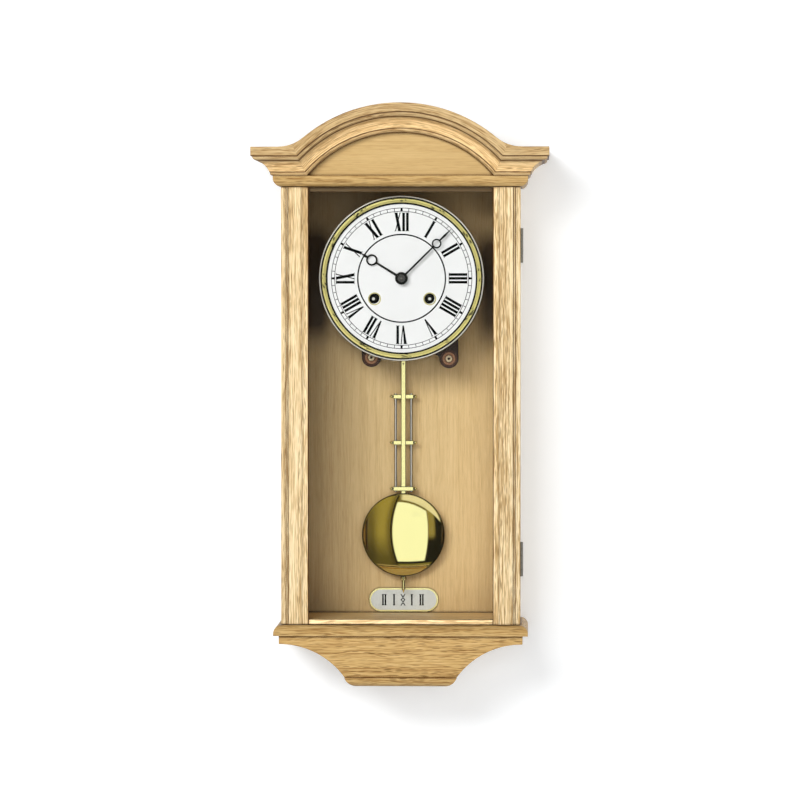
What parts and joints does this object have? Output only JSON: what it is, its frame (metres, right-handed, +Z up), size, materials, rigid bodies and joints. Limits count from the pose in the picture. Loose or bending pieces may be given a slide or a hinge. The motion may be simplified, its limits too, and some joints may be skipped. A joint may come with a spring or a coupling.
{
  "type": "regulator wall clock",
  "caption": "Wall regulator clock: oak case with an arched crown, hinged glazed door, round dial with hands, striking movement and a gridiron pendulum over a beat plate.",
  "frame": {"origin": "centre of the round hole of the keyhole on the back, on the wall plane", "axes": "+Z up, +Y out of the back into the wall, so the dial and door face -Y, and +X to the right of a person facing the dial"},
  "size_m": [0.3046, 0.1495, 0.5981],
  "materials": {
    "oak": "open-grained oak under a satin clear finish",
    "oak_inside": "the same oak, seen through the glass",
    "brass_polished": "polished and lacquered",
    "brass_movement": "fine-brushed, lacquered",
    "bronze_dark": "dark bronzed, smooth",
    "steel": "fine-brushed",
    "hinge_metal": "nickelled, worn",
    "black_paint": "black, satin",
    "dial_white": "white enamel paint, satin",
    "glass": "clear window glass",
    "magnet": "moulded, matt"
  },
  "bodies": {
    "case": {"back_board": "oak_inside", "left_side_panel": "oak", "right_side_panel": "oak", "top_board": "oak_inside", "bottom_board": "oak_inside", "crown_moulding": "oak", "crown_returns": "oak", "tympanum_panel": "oak", "cornice_rail": "oak", "base_moulding": "oak", "apron_front": "oak", "apron_coves": "oak", "foot_moulding": "oak", "hanger_plate": "steel", "beat_plate": "brass_polished", "case_hinge_leaves": "hinge_metal", "case_screws": "steel", "catch_magnet": "magnet", "front_plate": "bronze_dark", "back_plate": "brass_movement", "pillars": "brass_movement", "movement_screws": "bronze_dark", "movement_brackets": "bronze_dark", "dial_plate": "dial_white", "bezel": "brass_polished", "bell": "brass_polished", "bell_post": "steel", "suspension_cock": "brass_movement"},
    "door": {"door_left_stile": "oak", "door_right_stile": "oak", "door_rails": "oak", "door_glass": "glass", "door_hinge_leaves": "hinge_metal", "strike_plate": "steel"},
    "time_barrel": {"time_barrel": "brass_movement"},
    "time_winding": {"time_winding_arbor": "steel"},
    "time_second": {"time_second_wheel": "brass_movement"},
    "centre": {"centre_wheel": "brass_movement"},
    "third": {"third_wheel": "brass_movement"},
    "escape": {"escape_wheel": "brass_movement"},
    "anchor": {"anchor": "steel"},
    "minute_hand": {"cannon_pinion": "steel", "minute_hand": "black_paint"},
    "minute_wheel": {"minute_wheel": "brass_movement"},
    "hour_hand": {"hour_wheel": "brass_movement", "hour_hand": "black_paint"},
    "strike_barrel": {"strike_barrel": "brass_movement"},
    "strike_winding": {"strike_winding_arbor": "steel"},
    "strike_second": {"strike_second_wheel": "brass_movement"},
    "pin_wheel": {"pin_wheel": "brass_movement"},
    "gathering": {"gathering_wheel": "brass_movement"},
    "warning": {"warning_wheel": "brass_movement"},
    "fly": {"fly": "brass_movement"},
    "hammer": {"hammer": "steel"},
    "pendulum": {"suspension_spring": "steel", "pendulum_rod": "brass_polished", "gridiron_rods": "steel", "cross_bars": "brass_polished"},
    "bob": {"bob": "brass_polished", "rating_nut": "brass_polished"}
  },
  "joints": [
    {"name": "door_hinge", "type": "hinge", "parent": "case", "child": "door", "pos_m": [0.1233, -0.10035, -0.20886], "axis": [0, 0, 1], "range_deg": [0, 120]},
    {"name": "pendulum_swing", "type": "hinge", "parent": "case", "child": "pendulum", "pos_m": [0, -0.022, -0.03372], "axis": [0, 1, 0], "range_deg": [-4, 4]},
    {"name": "anchor_rock", "type": "hinge", "parent": "case", "child": "anchor", "pos_m": [0, -0.05, -0.03372], "axis": [0, 1, 0], "range_deg": [-4, 4]},
    {"name": "bob_height", "type": "slide", "parent": "pendulum", "child": "bob", "axis": [0, 0, 1], "range_m": [-0.002, 0.002]},
    {"name": "minute_turn", "type": "hinge", "parent": "case", "child": "minute_hand", "pos_m": [0, -0.06, -0.0778], "axis": [0, 1, 0], "continuous": true},
    {"name": "minute_wheel_turn", "type": "hinge", "parent": "case", "child": "minute_wheel", "pos_m": [0, -0.06, -0.0898], "axis": [0, 1, 0], "continuous": true},
    {"name": "hour_turn", "type": "hinge", "parent": "case", "child": "hour_hand", "pos_m": [0, -0.06, -0.0778], "axis": [0, 1, 0], "continuous": true},
    {"name": "third_turn", "type": "hinge", "parent": "case", "child": "third", "pos_m": [-0.00556, -0.06, -0.06068], "axis": [0, 1, 0], "continuous": true},
    {"name": "escape_turn", "type": "hinge", "parent": "case", "child": "escape", "pos_m": [0, -0.06, -0.04772], "axis": [0, 1, 0], "continuous": true},
    {"name": "centre_turn", "type": "hinge", "parent": "case", "child": "centre", "pos_m": [0, -0.06, -0.0778], "axis": [0, 1, 0], "continuous": true},
    {"name": "time_second_turn", "type": "hinge", "parent": "case", "child": "time_second", "pos_m": [0.01915, -0.06, -0.07275], "axis": [0, 1, 0], "continuous": true},
    {"name": "time_barrel_turn", "type": "hinge", "parent": "case", "child": "time_barrel", "pos_m": [0.0285, -0.06, -0.0984], "axis": [0, 1, 0], "continuous": true},
    {"name": "time_winding_turn", "type": "hinge", "parent": "case", "child": "time_winding", "pos_m": [0.0285, -0.06, -0.0984], "axis": [0, 1, 0], "continuous": true},
    {"name": "gathering_turn", "type": "hinge", "parent": "case", "child": "gathering", "pos_m": [-0.02117, -0.06, -0.04065], "axis": [0, 1, 0], "continuous": true},
    {"name": "pin_wheel_turn", "type": "hinge", "parent": "case", "child": "pin_wheel", "pos_m": [-0.02826, -0.06, -0.05292], "axis": [0, 1, 0], "continuous": true},
    {"name": "strike_second_turn", "type": "hinge", "parent": "case", "child": "strike_second", "pos_m": [-0.03324, -0.06, -0.07151], "axis": [0, 1, 0], "continuous": true},
    {"name": "strike_barrel_turn", "type": "hinge", "parent": "case", "child": "strike_barrel", "pos_m": [-0.0285, -0.06, -0.0984], "axis": [0, 1, 0], "continuous": true},
    {"name": "warning_turn", "type": "hinge", "parent": "case", "child": "warning", "pos_m": [-0.03318, -0.06, -0.03853], "axis": [0, 1, 0], "continuous": true},
    {"name": "fly_turn", "type": "hinge", "parent": "case", "child": "fly", "pos_m": [-0.04275, -0.06, -0.03596], "axis": [0, 1, 0], "continuous": true},
    {"name": "strike_winding_turn", "type": "hinge", "parent": "case", "child": "strike_winding", "pos_m": [-0.0285, -0.06, -0.0984], "axis": [0, 1, 0], "continuous": true},
    {"name": "hammer_swing", "type": "hinge", "parent": "case", "child": "hammer", "pos_m": [-0.05, -0.05, -0.0498], "axis": [0, 1, 0], "range_deg": [0, 12], "stiffness_Nm_per_rad": 0.02, "springref_deg": -5.73}
  ],
  "couplings": [
    {"joint": "anchor_rock", "follows": "pendulum_swing", "ratio": 1},
    {"joint": "minute_wheel_turn", "follows": "minute_turn", "ratio": -0.33333},
    {"joint": "hour_turn", "follows": "minute_turn", "ratio": 0.083333},
    {"joint": "escape_turn", "follows": "third_turn", "ratio": -12},
    {"joint": "centre_turn", "follows": "third_turn", "ratio": -0.11111},
    {"joint": "time_second_turn", "follows": "third_turn", "ratio": 0.022222},
    {"joint": "time_barrel_turn", "follows": "third_turn", "ratio": -0.0037037},
    {"joint": "pin_wheel_turn", "follows": "gathering_turn", "ratio": -0.125},
    {"joint": "strike_second_turn", "follows": "gathering_turn", "ratio": 0.020833},
    {"joint": "strike_barrel_turn", "follows": "gathering_turn", "ratio": -0.0034722},
    {"joint": "warning_turn", "follows": "gathering_turn", "ratio": -7.7143},
    {"joint": "fly_turn", "follows": "gathering_turn", "ratio": 52.898}
  ]
}
